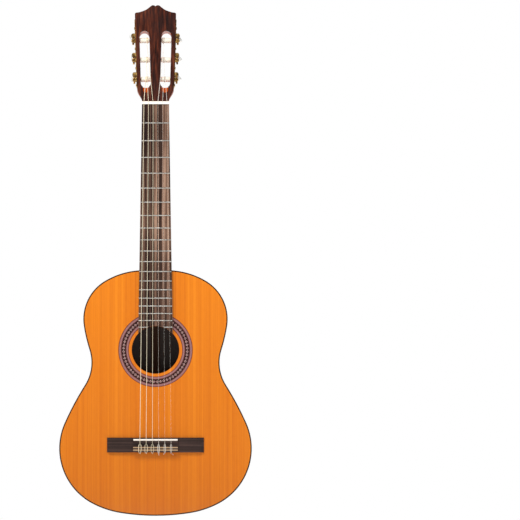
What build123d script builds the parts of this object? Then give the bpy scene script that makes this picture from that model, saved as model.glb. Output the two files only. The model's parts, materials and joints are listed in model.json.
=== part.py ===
from build123d import *
import os
from math import acos, atan2, cos, degrees, pi, radians, sin, tan

# Classical guitar, standing upright, millimetres.
# X runs across the guitar, with string 1 (treble) on the +X side. The soundboard faces -Y.
# Z = 0 is the tail of the body, and the neck points along +Z.

# ---- scale, strings and frets
scale_length = 650.0
nut_line_z = 799.3
saddle_line_z = nut_line_z - scale_length
fret_count = 19
string_diameters = {1: 0.72, 2: 0.82, 3: 1.04, 4: 0.76, 5: 0.92, 6: 1.12}
nut_spacing = 9.0
saddle_spacing = 12.1
nut_string_height = 7.3        # underside of the strings above the neck's flat, at the nut
saddle_string_height = 12.4    # the same at the saddle, above the soundboard
groove_clearance = 0.03

# ---- body
top_y = -43.0
body_depth = 100.0             # soundboard face to the deepest point of the back
back_radius = 4600.0           # the back is part of one large ball
back_apex_z = 190.0
top_thickness = 2.5
back_thickness = 2.5
side_thickness = 2.3
binding_width = 2.3
binding_depth = 6.0
lining_width = 5.5
lining_height = 14.0
block_height = 20.0
body_arcs = [                  # half the outline, from tail to neck: radius, degrees of turn
    (426.0, 9.1), (179.0, 18.5), (121.0, 86.3), (575.0, 8.4),
    (81.4, -50.0), (309.5, 8.8), (86.3, 68.2), (148.0, 30.7),
]
body_end_z = 476.8
back_y = top_y + body_depth
centre_strip_width = 3.0
centre_line_width = 0.7

# ---- soundhole and rosette
soundhole_z = 322.1
soundhole_radius = 46.2
rosette_depth = 1.2
rosette_radii = [51.8, 52.5, 57.3, 66.4, 71.6, 72.3]   # line, band, mosaic, band, line

# ---- neck and fingerboard
nut_width = 52.5
body_joint_width = 63.0
board_thickness = 6.0
fret_crown_width = 2.2
fret_crown_height = 1.0
fret_tang_width = 0.6
fret_tang_depth = 2.0
nut_thickness = 5.4
nut_height = 8.3
nut_crest = 1.2                # flat top of the nut before it slopes down to the head
fret_end_setback = 0.3
neck_depth_nut = 15.5
neck_depth_heel = 17.5
web_width = 16.0               # the neck's tongue between the ends of the two sides
heel_block_width = 64.0
heel_block_length = 30.0
heel_base_z = 466.0
heel_sections = [              # depth behind the neck's flat, half width, height of the tip
    (4.0, 30.0, 590.0), (16.5, 26.5, 546.0), (33.0, 22.0, 527.0), (58.0, 18.0, 518.0),
]
heel_cap_half_width = 15.5
heel_cap_tip_z = 514.3
heel_cap_face_y = 47.6
heel_cap_thickness = 3.0
heel_line_thickness = 0.6

# ---- headstock
head_tilt = 15.0
head_thickness = 20.0
veneer_thickness = 2.0
head_base_z = nut_line_z + nut_thickness
head_face_y = top_y - 1.0
head_low = (35.5, 27.2)        # half width and height along the head, where the straight sides start
head_top = (40.0, 175.4)
slot_width = 19.2
slot_centre = (20.1, 84.5)
slot_length = 114.0
slot_tilt = 1.6
ramp_start = 17.5
ramp_depth = 8.5
ramp_width = 12.0
flare_sections = [             # height along the head, half width and depth of the neck's round back
    (-24.0, 27.4, 15.9), (3.6, 27.4, 15.9), (24.0, 42.5, 35.0),
]

# ---- tuning machines, three to a plate
tuner_spacing = 39.0
tuner_middle = 85.2            # middle roller's height along the head
roller_depth = 10.0            # roller axis behind the head's face
roller_radius = 5.0
roller_ends = (-26.4, -7.9)
roller_tip_end = -31.0
roller_tip_radius = 2.5
spindle_radius = 3.0
core_radius = 2.0
core_end = -20.0               # the spindle's thin end inside the roller
string_hole_radius = 0.8
running_clearance = 0.05
wrap_step = 80.0               # degrees of turn at each corner of a string round its roller
wrap_gap = 0.6
plate_thickness = 1.2
plate_width = 15.0
plate_ends = (-55.0, 58.0)
plate_lobes = [(60.0, 6.0), (68.5, 4.6), (75.5, 3.4), (80.0, 1.8)]
plate_screw_places = (-50.5, -16.0, 23.0, 64.0)
screw_radius = 1.1
screw_length = 9.0
screw_head = (2.3, 1.1)        # radius and height
screw_slot = (0.7, 0.7)        # width and depth
gear_module = 0.9
gear_teeth = 16
gear_thickness = 3.6
gear_hub_radius = 4.4
gear_screw_radius = 1.2
gear_screw_depth = 6.0
gear_screw_head = (2.7, 1.5)   # radius and height
tooth_addendum = 0.8
tooth_dedendum = 1.15
tooth_backlash = 0.34
tooth_slope = 0.364            # tangent of the 20 degree pressure angle
worm_radius = 2.7
worm_turns = 3
worm_height = 5.0              # worm axis above the plate's inner face
shaft_radius = 1.5
collar_radius = 2.5
collar_length = 1.1
lug_thickness = 1.3
lug_place = 6.3
lug_half_width = 3.2
button_start = -13.0
button_sections = [             # distance from the button's start, length, width
    (0.0, 6.0, 5.0), (3.0, 15.4, 7.4), (6.5, 18.4, 8.4), (11.5, 17.8, 8.0), (14.0, 14.4, 5.4),
]
button_hole_depth = 9.1
button_angles = {1: 22, 2: 22, 3: 36, 4: 56, 5: 88, 6: -60}   # from level, seen from behind

# ---- bridge
bridge_low_z = 123.1
bridge_high_z = 151.6
bridge_length = 188.0
bridge_middle = 86.8
bridge_height = 9.5
ditch_low_z = 135.9
ditch_high_z = 141.5
ditch_height = 4.0
tie_block_height = 8.5
tie_block_bevel = 1.2
wing_height = 4.0
wing_tip_height = 1.6
wing_bevel = 7.0
saddle_z = 147.3
saddle_thickness = 3.2
saddle_length = 86.0
saddle_slot_depth = 6.0
tie_hole_radius = 0.8
tie_hole_height = 4.9
inlay_bands = [(126.6, 128.5), (131.7, 133.5)]
inlay_depth = 1.0

# ---- bracing
brace_width = 6.0
bar_width = 7.0
bar_clearance = 0.2            # between a back bar and the graft's ends
fan_height = 5.0
fan_length = 180.0
fan_middle_z = 155.0
fan_focus_z = 620.0
fan_spacing = 26.0
bar_height = 16.0
top_bar_places = (259.0, 386.0)
hole_ring_radii = (47.5, 54.5)
hole_ring_thickness = 1.5
back_bar_places = (95.0, 255.0, 400.0)
back_graft_width = 18.0
back_graft_thickness = 2.0

# ---- worked out from the above
tilt = radians(head_tilt)
head = Plane(origin=(0, head_face_y, head_base_z), x_dir=(1, 0, 0), z_dir=(0, -cos(tilt), sin(tilt)))
head_side = Plane(origin=head.origin, x_dir=head.y_dir, z_dir=(1, 0, 0))
through_low = slot_centre[1] - slot_length / 2
ramp_x = slot_centre[0] - (slot_centre[1] - through_low) * sin(radians(slot_tilt))
taper = atan2(head_top[0] - head_low[0], head_top[1] - head_low[1])
side_x = head_low[0] + (tuner_middle - head_low[1]) * tan(taper)
tuner_up = head.x_dir * sin(taper) + head.y_dir * cos(taper)
tuner_out = head.x_dir * cos(taper) - head.y_dir * sin(taper)
gear_radius = gear_module * gear_teeth / 2
worm_pitch = pi * gear_module
worm_distance = gear_radius + worm_radius + running_clearance
lead_angle = atan2(worm_pitch, 2 * pi * worm_radius)

os.makedirs("parts", exist_ok=True)


def save(builder, name):
    """Label a finished piece and write its STEP file."""
    builder.part.label = name
    export_step(builder.part, f"parts/{name}.step")


def front_plane(y):
    """Return the plane at depth y that faces the player's audience, along -Y."""
    return Plane.XZ.offset(-y)


def fret_z(number):
    """Return the height of a fret from the scale's rule."""
    return saddle_line_z + scale_length / 2 ** (number / 12)


def board_half_width(z):
    """Return half the fingerboard's width at height z."""
    slope = (body_joint_width - nut_width) / (nut_line_z - fret_z(12))
    return nut_width / 2 + (nut_line_z - z) * slope / 2


def body_shape(inset):
    """Return the body's outline as a flat sketch, set in from its edge."""
    with BuildSketch() as shape:
        with BuildLine():
            place = Vector(0, inset)
            heading = 0.0
            for radius, turn in body_arcs:
                bend = 1 if turn > 0 else -1
                arc_radius = radius - bend * inset
                centre = place + Vector(-sin(heading), cos(heading)) * bend * arc_radius
                CenterArc(centre, arc_radius, degrees(heading) - 90 * bend, turn)
                heading += radians(turn)
                place = centre - Vector(-sin(heading), cos(heading)) * bend * arc_radius
            Line(place, (0, place.Y))
            mirror(about=Plane.YZ)
        make_face()
    return shape.sketch_local


def body_prism(shape, low_y, high_y):
    """Return the flat body sketch as a solid between two depths."""
    with BuildPart() as prism:
        with BuildSketch(front_plane(high_y)):
            add(shape)
        extrude(amount=high_y - low_y)
    return prism.part


def back_ball(inset):
    """Return the ball whose surface is the back, moved in by inset."""
    with BuildPart() as ball:
        with Locations((0, back_y - back_radius, back_apex_z)):
            Sphere(back_radius - inset)
    return ball.part


def tube(points, bends, radius):
    """Return a round tube along straight runs, with an arc of the given radius at each corner."""
    with BuildPart() as run:
        with BuildLine() as path:
            last = points[0]
            for before, corner, after, bend in zip(points, points[1:], points[2:], bends):
                arriving = (corner - before).normalized()
                leaving = (after - corner).normalized()
                turn = radians(arriving.get_angle(leaving))
                tangent = bend * tan(turn / 2)
                middle = corner + (leaving - arriving).normalized() * bend * (1 / cos(turn / 2) - 1)
                Line(last, corner - arriving * tangent)
                last = corner + leaving * tangent
                ThreePointArc(corner - arriving * tangent, middle, last)
            Line(last, points[-1])
        with BuildSketch(Plane(origin=points[0], z_dir=points[1] - points[0])):
            Circle(radius)
        sweep()
    return run.part


full_outline = body_shape(0)
inner_outline = body_shape(binding_width)
lined_outline = body_shape(side_thickness + lining_width)
ball_outside = back_ball(0)
ball_back_inside = back_ball(back_thickness)
ball_binding = back_ball(binding_depth)
ball_lining = back_ball(back_thickness + lining_height)
under_top_y = top_y + top_thickness
binding_y = top_y + binding_depth
deep_y = back_y + 5

# ================================================================ body box
body_core = body_prism(inner_outline, under_top_y, deep_y)
lined_core = body_prism(lined_outline, under_top_y, deep_y)

with BuildPart() as top_binding:
    add(body_prism(full_outline, top_y, binding_y))
    add(body_prism(inner_outline, top_y, binding_y), mode=Mode.SUBTRACT)
save(top_binding, "top_binding")

with BuildPart() as back_binding:
    add(body_prism(full_outline, 0, deep_y))
    add(ball_outside, mode=Mode.INTERSECT)
    add(ball_binding, mode=Mode.SUBTRACT)
    add(body_prism(inner_outline, 0, deep_y), mode=Mode.SUBTRACT)
save(back_binding, "back_binding")

with BuildPart() as side_ring:
    add(body_prism(full_outline, binding_y, deep_y))
    add(ball_binding, mode=Mode.INTERSECT)
    add(body_prism(inner_outline, binding_y, deep_y), mode=Mode.SUBTRACT)
    with Locations((0, 0, body_end_z)):
        Box(web_width, 2 * body_depth, 30, mode=Mode.SUBTRACT)
for name, keep in (("side_left", Keep.BOTTOM), ("side_right", Keep.TOP)):
    with BuildPart() as side:
        add(side_ring.part)
        split(bisect_by=Plane.YZ, keep=keep)
    save(side, name)

with BuildPart() as tail_block:
    with Locations((0, back_y - body_depth / 2, 0)):
        Box(80, 2 * body_depth, 2 * (block_height + side_thickness))
    add(body_core, mode=Mode.INTERSECT)
    add(ball_back_inside, mode=Mode.INTERSECT)
save(tail_block, "tail_block")

with BuildPart() as heel_block:
    with Locations((0, 0, body_end_z)):
        Box(heel_block_width, 2 * body_depth, 2 * heel_block_length)
    add(body_core, mode=Mode.INTERSECT)
    add(ball_back_inside, mode=Mode.INTERSECT)

with BuildPart() as lining_space:
    add(body_core)
    add(lined_core, mode=Mode.SUBTRACT)
    add(tail_block.part, mode=Mode.SUBTRACT)
    add(heel_block.part, mode=Mode.SUBTRACT)

with BuildPart() as top_lining:
    add(lining_space.part)
    split(bisect_by=Plane.XZ.offset(-(under_top_y + lining_height)), keep=Keep.TOP)
save(top_lining, "top_lining")

with BuildPart() as back_lining:
    add(lining_space.part)
    add(ball_back_inside, mode=Mode.INTERSECT)
    add(ball_lining, mode=Mode.SUBTRACT)
save(back_lining, "back_lining")

# ---- soundboard with its rosette
with BuildPart() as soundboard:
    add(body_prism(inner_outline, top_y, under_top_y))
    with BuildSketch(front_plane(top_y)):
        with Locations((0, soundhole_z)):
            Circle(soundhole_radius)
    extrude(amount=-top_thickness, mode=Mode.SUBTRACT)
    with BuildSketch(front_plane(top_y)):
        with Locations((0, soundhole_z)):
            Circle(rosette_radii[-1])
            Circle(rosette_radii[0], mode=Mode.SUBTRACT)
    extrude(amount=-rosette_depth, mode=Mode.SUBTRACT)
save(soundboard, "soundboard")

rosette_nodes = {"rosette_lines": (0, 4), "rosette_bands": (1, 3), "rosette_mosaic": (2,)}
for name, ring_numbers in rosette_nodes.items():
    with BuildPart() as rosette:
        for number in ring_numbers:
            with BuildSketch(front_plane(top_y)):
                with Locations((0, soundhole_z)):
                    Circle(rosette_radii[number + 1])
                    Circle(rosette_radii[number], mode=Mode.SUBTRACT)
            extrude(amount=-rosette_depth)
    save(rosette, name)

# ---- back in two halves with a strip between them
with BuildPart() as whole_back:
    add(body_prism(inner_outline, 0, deep_y))
    add(ball_outside, mode=Mode.INTERSECT)
    add(ball_back_inside, mode=Mode.SUBTRACT)
strip_low_x = -centre_strip_width / 2
strip_high_x = centre_strip_width / 2
line_high_x = strip_high_x + centre_line_width
back_cuts = {
    "back_left": (-400, strip_low_x),
    "back_centre_strip": (strip_low_x, strip_high_x),
    "back_centre_line": (strip_high_x, line_high_x),
    "back_right": (line_high_x, 400),
}
for name, (low_x, high_x) in back_cuts.items():
    with BuildPart() as back_piece:
        with Locations(((low_x + high_x) / 2, 0, 240)):
            Box(high_x - low_x, 4 * body_depth, 600)
        add(whole_back.part, mode=Mode.INTERSECT)
    save(back_piece, name)

# ---- braces
with BuildPart() as soundboard_braces:
    with BuildSketch(front_plane(under_top_y)):
        for number in range(-3, 4):
            lean = degrees(atan2(number * fan_spacing, fan_focus_z - fan_middle_z))
            with Locations(Location((number * fan_spacing, fan_middle_z, 0), lean)):
                Rectangle(brace_width, fan_length)
    extrude(amount=-fan_height)
    with BuildSketch(front_plane(under_top_y)):
        with Locations([(0, z) for z in top_bar_places]):
            Rectangle(400, bar_width)
    extrude(amount=-bar_height)
    with BuildSketch(front_plane(under_top_y)):
        with Locations((0, soundhole_z)):
            Circle(hole_ring_radii[1])
            Circle(hole_ring_radii[0], mode=Mode.SUBTRACT)
    extrude(amount=-hole_ring_thickness)
    add(lined_core, mode=Mode.INTERSECT)
save(soundboard_braces, "soundboard_braces")

# the bars and the graft over the centre joint are separate pieces of wood in one node
with BuildPart() as back_graft:
    with Locations((0, back_y - 20, body_end_z / 2)):
        Box(back_graft_width, 40, body_end_z)
    add(body_core, mode=Mode.INTERSECT)
    add(ball_back_inside, mode=Mode.INTERSECT)
    add(back_ball(back_thickness + back_graft_thickness), mode=Mode.SUBTRACT)
    add(tail_block.part, mode=Mode.SUBTRACT)
    add(heel_block.part, mode=Mode.SUBTRACT)
    with Locations([(0, back_y - 20, z) for z in back_bar_places]):
        Box(400, 40, bar_width + 2 * bar_clearance, mode=Mode.SUBTRACT)

with BuildPart() as back_braces:
    with Locations([(0, back_y - 20, z) for z in back_bar_places]):
        Box(400, 40, bar_width)
    add(lined_core, mode=Mode.INTERSECT)
    add(ball_back_inside, mode=Mode.INTERSECT)
    add(ball_lining, mode=Mode.SUBTRACT)
    add(back_graft.part)
save(back_braces, "back_braces")

# ================================================================ strings' routes
def nut_point(number):
    """Return where a string bends over the nut."""
    height = nut_string_height + string_diameters[number] / 2
    return Vector((3.5 - number) * nut_spacing, top_y - height, nut_line_z + nut_crest)


def saddle_point(number):
    """Return where a string bends over the saddle."""
    height = saddle_string_height + string_diameters[number] / 2
    return Vector((3.5 - number) * saddle_spacing, top_y - height, saddle_z)


def string_side(number):
    """Return which side of the head a string's machine is on, and its place on the plate."""
    return (1, number - 2) if number <= 3 else (-1, 5 - number)


def string_lane(number):
    """Return where a string reaches its roller, along the roller from the plate."""
    return -17.0 - 2.0 * (string_side(number)[1] + 1)


def coil_radius(number):
    """Return the radius of the string's centre line where it is wound round the roller."""
    return roller_radius + running_clearance + string_diameters[number] / 2


def lane_height(number):
    """Return how far up the head a string's lane crosses its roller's axis."""
    place = string_side(number)[1]
    along_head = tuner_middle + place * tuner_spacing * cos(taper)
    return along_head - string_lane(number) * sin(taper)


def roller_point(number):
    """Return the point where a string first touches its roller."""
    side, place = string_side(number)
    middle_x = side_x + place * tuner_spacing * sin(taper) + string_lane(number) * cos(taper)
    start = head.to_local_coords(nut_point(number))
    along, depth = start.Y - lane_height(number), start.Z + roller_depth
    reach = (along ** 2 + depth ** 2) ** 0.5
    angle = atan2(depth, along) - acos(coil_radius(number) / reach)
    touch_height = lane_height(number) + coil_radius(number) * cos(angle)
    touch_depth = -roller_depth + coil_radius(number) * sin(angle)
    return head.from_local_coords(Vector(side * middle_x, touch_height, touch_depth))


def wrap_points(number):
    """Return the corners of a string's turn round its roller, starting at its end."""
    touch = roller_point(number)
    centre = head.from_local_coords(Vector(touch.X, lane_height(number), -roller_depth))
    run = (touch - nut_point(number)).normalized()
    arm = touch + run * coil_radius(number) * tan(radians(wrap_step / 2)) - centre
    turn_axis = Axis((0, 0, 0), (-1, 0, 0))
    corners = [centre + arm.rotate(turn_axis, step * wrap_step) for step in range(4)]
    return [(corners[3] + corners[2]) / 2, corners[2], corners[1], corners[0]]


def string_points(number):
    """Return the corners of a string's route, from its roller to the knot at the bridge."""
    x = saddle_point(number).X
    radius = string_diameters[number] / 2
    hole_y = top_y - tie_hole_height
    over_y = top_y - tie_block_height - radius - 0.15
    return [
        roller_point(number),
        nut_point(number),
        saddle_point(number),
        Vector(x, hole_y, ditch_low_z + 1.0),
        Vector(x, hole_y, bridge_low_z - 1.4),
        Vector(x - 1.6, over_y, bridge_low_z - 1.4),
        Vector(x - 1.6, over_y, ditch_low_z + 1.2),
    ]


string_bends = [3.0, 1.0, 0.8, 1.0, 1.0]
grooves = {}
for number, diameter in string_diameters.items():
    points = string_points(number)
    grooves[number] = tube(points[:4], string_bends[:2], diameter / 2 + groove_clearance)

# ================================================================ fingerboard, frets and nut
with BuildPart() as frets:
    for number in range(1, fret_count + 1):
        z = fret_z(number)
        board_y = top_y - board_thickness
        with BuildSketch(Plane.YZ):
            with BuildLine():
                crown = ThreePointArc(
                    (board_y, z - fret_crown_width / 2),
                    (board_y - fret_crown_height, z),
                    (board_y, z + fret_crown_width / 2),
                )
                Line(crown @ 1, crown @ 0)
            make_face()
            with Locations((board_y + fret_tang_depth / 2, z)):
                Rectangle(fret_tang_depth, fret_tang_width)
        extrude(amount=board_half_width(z) - fret_end_setback, both=True)
    with Locations(Location((0, top_y, soundhole_z), (90, 0, 0))):
        Cylinder(soundhole_radius + 0.6, 40, mode=Mode.SUBTRACT)
save(frets, "frets")

with BuildPart() as fingerboard:
    low_z = soundhole_z
    with BuildSketch(front_plane(top_y)):
        with BuildLine():
            Polyline(
                (-board_half_width(nut_line_z), nut_line_z),
                (board_half_width(nut_line_z), nut_line_z),
                (board_half_width(low_z), low_z),
                (-board_half_width(low_z), low_z),
                close=True,
            )
        make_face()
        with Locations((0, soundhole_z)):
            Circle(soundhole_radius + 0.2, mode=Mode.SUBTRACT)
        with Locations((0, soundhole_z)):
            Rectangle(100, 60, mode=Mode.SUBTRACT)
    extrude(amount=board_thickness)
    add(frets.part, mode=Mode.SUBTRACT)
save(fingerboard, "fingerboard")

with BuildPart() as nut:
    slope_end = nut_height - 1.7
    with BuildSketch(Plane.YZ):
        with BuildLine():
            Polyline(
                (top_y, nut_line_z),
                (top_y - nut_height + 0.5, nut_line_z),
                (top_y - nut_height + 0.5, nut_line_z + nut_crest),
                (top_y - slope_end + 0.5, head_base_z),
                (top_y, head_base_z),
                close=True,
            )
        make_face()
    extrude(amount=nut_width / 2, both=True)
    nut_blank = nut.part
    for groove in grooves.values():
        add(groove, mode=Mode.SUBTRACT)
save(nut, "nut")

# ================================================================ headstock
def head_outline():
    """Return the head's outline with its two-lobed crest as a flat sketch."""
    with BuildSketch() as shape:
        with BuildLine():
            base = Line((0, 0), (nut_width / 2 - 0.2, 0))
            flare = Bezier(base @ 1, (nut_width / 2 - 0.2, 9), (33.8, 15.5), head_low)
            edge = Line(flare @ 1, (head_top[0], head_top[1]))
            corner = RadiusArc(edge @ 1, (head_top[0] - 3, head_top[1] + 3), -3)
            sweep_up = Spline(
                corner @ 1, (28, 180.3), (18.4, 184.2), (9.6, 190.8), tangents=((-1, 0), (-0.8, 0.62))
            )
            ThreePointArc(sweep_up @ 1, (5.4, 193.2), (0, 191.0))
            mirror(about=Plane.YZ)
        make_face()
    return shape.sketch_local


def slot_shape():
    """Return the two round-ended string slots as a flat sketch."""
    with BuildSketch() as shape:
        for side in (-1, 1):
            with Locations((side * slot_centre[0], slot_centre[1])):
                SlotOverall(slot_length, slot_width, rotation=90 - side * slot_tilt)
    return shape.sketch_local


def ramp_shape():
    """Return the two narrow round-ended ramps below the slots as a flat sketch."""
    with BuildSketch() as shape:
        for side in (-1, 1):
            with Locations((side * ramp_x, through_low)):
                SlotOverall(2 * (through_low - ramp_start), ramp_width, rotation=90 - side * slot_tilt)
    return shape.sketch_local


def tuner_plane(place):
    """Return the plane on the head's right side at one roller, facing outwards."""
    middle = head.from_local_coords(Vector(side_x, tuner_middle, -roller_depth))
    return Plane(origin=middle + tuner_up * place * tuner_spacing, x_dir=tuner_up, z_dir=tuner_out)


outline = head_outline()
with BuildPart() as headstock_veneer:
    with BuildSketch(head):
        add(outline)
        add(slot_shape(), mode=Mode.SUBTRACT)
        add(ramp_shape(), mode=Mode.SUBTRACT)
    extrude(amount=-veneer_thickness)
    add(nut_blank, mode=Mode.SUBTRACT)
save(headstock_veneer, "headstock_veneer")

# everything that the neck's wood loses round the tuning machines of the right side
with BuildPart() as machine_bores:
    for place in (-1, 0, 1):
        with BuildSketch(tuner_plane(place)):
            Circle(spindle_radius + running_clearance)
        extrude(amount=roller_ends[1] - 1)
        with BuildSketch(tuner_plane(place)):
            Circle(roller_tip_radius + running_clearance)
        extrude(amount=roller_tip_end - 0.5)
    for along in plate_screw_places:
        with BuildSketch(tuner_plane(0)):
            with Locations((along, 0)):
                Circle(screw_radius)
        extrude(amount=plate_thickness - screw_length)
    mirror(about=Plane.YZ)

with BuildPart() as ramp_cuts:
    with BuildSketch(head_side):
        with BuildLine():
            Polyline(
                (ramp_start - 1.2, 1), (through_low + 1, 1), (through_low + 1, -ramp_depth),
                (through_low + 6, -ramp_depth), (through_low + 6, 2), (ramp_start - 1.2, 2), close=True
            )
        make_face()
    extrude(amount=head_top[0], both=True)
    with BuildSketch(head.offset(-head_thickness), mode=Mode.PRIVATE) as ramp_outline:
        add(ramp_shape())
    extrude(ramp_outline.sketch, amount=head_thickness + 3, mode=Mode.INTERSECT)

with BuildPart() as head_wood:
    with BuildSketch(head.offset(-veneer_thickness)):
        add(outline)
        add(slot_shape(), mode=Mode.SUBTRACT)
    extrude(amount=veneer_thickness - head_thickness)
    add(ramp_cuts.part, mode=Mode.SUBTRACT)
    add(machine_bores.part, mode=Mode.SUBTRACT)

# below this short cone the head's wood is no thicker than the neck, which leaves a curved step
with BuildPart() as head_flare:
    with BuildSketch(head.offset(-head_thickness / 2)):
        Rectangle(200, 2 * ramp_start + 12)
    extrude(amount=50, both=True)
    for height, half_width, depth in flare_sections:
        section = Plane(origin=head.from_local_coords((0, height, -1)), x_dir=(1, 0, 0), z_dir=head.y_dir)
        with BuildSketch(section):
            Ellipse(half_width, depth)
    loft(ruled=True, mode=Mode.SUBTRACT)

# ================================================================ neck with heel and tongue
def neck_section(z, depth):
    """Return the neck's half-round section at height z."""
    half = board_half_width(z)
    with BuildSketch(Plane.XY.offset(z)) as section:
        with BuildLine():
            EllipticalCenterArc((0, top_y), half, depth, start_angle=0, arc_size=180)
            Line((-half, top_y), (half, top_y))
        make_face()
    return section.sketch


def heel_shape(half_width, tip_z):
    """Return the heel's pointed section as a flat sketch."""
    rise = tip_z - body_end_z
    with BuildSketch() as section:
        with BuildLine():
            foot = Line((0, heel_base_z), (half_width, heel_base_z))
            wall = Line(foot @ 1, (half_width, body_end_z))
            Bezier(
                wall @ 1,
                (half_width, body_end_z + 0.5 * rise),
                (0.42 * half_width, tip_z - 0.16 * rise),
                (0, tip_z),
            )
            mirror(about=Plane.YZ)
        make_face()
    return section.sketch_local


heel_end_y = heel_cap_face_y - heel_cap_thickness - heel_line_thickness
with BuildPart() as heel:
    for depth, half_width, tip_z in heel_sections:
        with BuildSketch(front_plane(top_y + depth)):
            add(heel_shape(half_width, tip_z))
    with BuildSketch(front_plane(heel_end_y)):
        add(heel_shape(heel_cap_half_width, heel_cap_tip_z))
    loft()

with BuildPart() as neck_tongue:
    with Locations((0, 0, body_end_z)):
        Box(web_width, 2 * body_depth, 30)
    add(body_prism(full_outline, binding_y, deep_y), mode=Mode.INTERSECT)
    add(ball_binding, mode=Mode.INTERSECT)
    add(body_prism(inner_outline, binding_y, deep_y), mode=Mode.SUBTRACT)

with BuildPart() as head_root:
    add(head_wood.part)
    add(head_flare.part, mode=Mode.SUBTRACT)
    add(nut_blank, mode=Mode.SUBTRACT)

with BuildPart() as neck:
    add(neck_section(heel_base_z, neck_depth_heel))
    add(neck_section(head_base_z - 0.7, neck_depth_nut))
    loft()
    add(heel.part)
    add(body_prism(full_outline, top_y - 5, deep_y), mode=Mode.SUBTRACT)
    add(neck_tongue.part)
    add(heel_block.part)
    add(head_root.part)
save(neck, "neck")

for name, outer_y, thickness in (
    ("heel_cap", heel_cap_face_y, heel_cap_thickness),
    ("heel_cap_line", heel_cap_face_y - heel_cap_thickness, heel_line_thickness),
):
    with BuildPart() as heel_end:
        with BuildSketch(front_plane(outer_y)):
            add(heel_shape(heel_cap_half_width, heel_cap_tip_z))
        extrude(amount=thickness)
        add(body_prism(full_outline, 0, deep_y), mode=Mode.SUBTRACT)
    save(heel_end, name)

# ================================================================ tuning machines
def worm_plane(place):
    """Return the plane across a worm's axis, level with its gear, facing the head's front."""
    origin = tuner_plane(place).from_local_coords((worm_distance, 0, worm_height))
    return Plane(origin=origin, x_dir=tuner_up, z_dir=head.z_dir)


def half_tooth(offset, half_width):
    """Return half a tooth's or gap's width at a distance outside the pitch line."""
    return half_width + offset * tooth_slope


# a worm on its shaft, made along Z, with its thread's crest facing -X at the middle
thread_half = worm_pitch / 4 - tooth_backlash / 4
thread_start = -worm_turns / 2 * worm_pitch
with BuildPart() as worm:
    shaft_low = button_start - button_hole_depth + 0.1
    with BuildSketch(Plane.XY.offset(shaft_low)):
        Circle(shaft_radius)
    extrude(amount=lug_place + lug_thickness + 1.6 - shaft_low)
    with BuildSketch(Plane.XY.offset(thread_start - 0.2)):
        Circle(worm_radius - tooth_dedendum + 0.15)
    extrude(amount=-2 * thread_start + 0.4)
    collar_start = lug_place + lug_thickness / 2 + 0.1
    for low in (collar_start, -collar_start - collar_length):
        with BuildSketch(Plane.XY.offset(low)):
            Circle(collar_radius)
        extrude(amount=collar_length)
    with BuildLine() as thread_path:
        Helix(worm_pitch, worm_turns * worm_pitch, worm_radius, center=(0, 0, thread_start))
    with BuildSketch(Plane.XZ):
        with BuildLine():
            inner = -tooth_dedendum
            Polyline(
                (worm_radius + inner, thread_start - half_tooth(-inner, thread_half)),
                (worm_radius + tooth_addendum, thread_start - half_tooth(-tooth_addendum, thread_half)),
                (worm_radius + tooth_addendum, thread_start + half_tooth(-tooth_addendum, thread_half)),
                (worm_radius + inner, thread_start + half_tooth(-inner, thread_half)),
                close=True,
            )
        make_face()
    sweep(path=thread_path.line, is_frenet=True)

# the gap between two teeth of the gear, facing +X
gap_half = worm_pitch / 4 + tooth_backlash / 4
gap_outer = tooth_addendum + 0.4
with BuildPart() as gap:
    with BuildSketch(
        Plane(
            origin=(gear_radius, 0, worm_height), x_dir=(1, 0, 0), z_dir=(0, sin(lead_angle), cos(lead_angle))
        )
    ):
        with BuildLine():
            Polyline(
                (-tooth_dedendum, -half_tooth(-tooth_dedendum, gap_half)),
                (gap_outer, -half_tooth(gap_outer, gap_half)),
                (gap_outer, half_tooth(gap_outer, gap_half)),
                (-tooth_dedendum, half_tooth(-tooth_dedendum, gap_half)),
                close=True,
            )
        make_face()
    extrude(amount=gear_thickness, both=True)

# a gear wheel on its spindle, made along Z
with BuildPart() as gear:
    with BuildSketch(Plane.XY.offset(worm_height - gear_thickness / 2)):
        Circle(gear_radius + tooth_addendum)
    extrude(amount=gear_thickness)
    with PolarLocations(0, gear_teeth):
        add(gap.part, mode=Mode.SUBTRACT)
    hub_low = plate_thickness + running_clearance
    with BuildSketch(Plane.XY.offset(hub_low)):
        Circle(gear_hub_radius)
    extrude(amount=worm_height - gear_thickness / 2 - hub_low)
    with BuildSketch(Plane.XY.offset(hub_low)):
        Circle(spindle_radius)
    extrude(amount=roller_ends[1] + 0.3 - hub_low)
    with BuildSketch(Plane.XY.offset(hub_low)):
        Circle(core_radius)
    extrude(amount=core_end - hub_low)
    gear_top = worm_height + gear_thickness / 2
    with BuildSketch(Plane.XY.offset(gear_top)):
        Circle(gear_screw_radius)
    extrude(amount=-gear_screw_depth, mode=Mode.SUBTRACT)

with BuildPart() as gear_screw:
    with BuildSketch(Plane.XY.offset(gear_top)):
        Circle(gear_screw_head[0])
    extrude(amount=gear_screw_head[1])
    fillet(gear_screw.edges().sort_by(Axis.Z)[-1], 0.6)
    with BuildSketch(Plane.XY.offset(gear_top)):
        Circle(gear_screw_radius)
    extrude(amount=-gear_screw_depth)
    with Locations((0, 0, gear_top + gear_screw_head[1])):
        Box(6, screw_slot[0], 1.2, mode=Mode.SUBTRACT)

with BuildPart() as roller:
    with BuildSketch(Plane.XY.offset(roller_ends[0])):
        Circle(roller_radius)
    extrude(amount=roller_ends[1] - roller_ends[0])
    with BuildSketch(Plane.XY.offset(roller_ends[0])):
        Circle(roller_tip_radius)
    extrude(amount=roller_tip_end - roller_ends[0])
    with BuildSketch(Plane.XY.offset(roller_ends[1])):
        Circle(core_radius)
    extrude(amount=core_end - roller_ends[1], mode=Mode.SUBTRACT)
    with Locations(Location((0, 0, roller_ends[0] + 1.5), (90, 0, 0))):
        Cylinder(string_hole_radius, 3 * roller_radius, mode=Mode.SUBTRACT)

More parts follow.
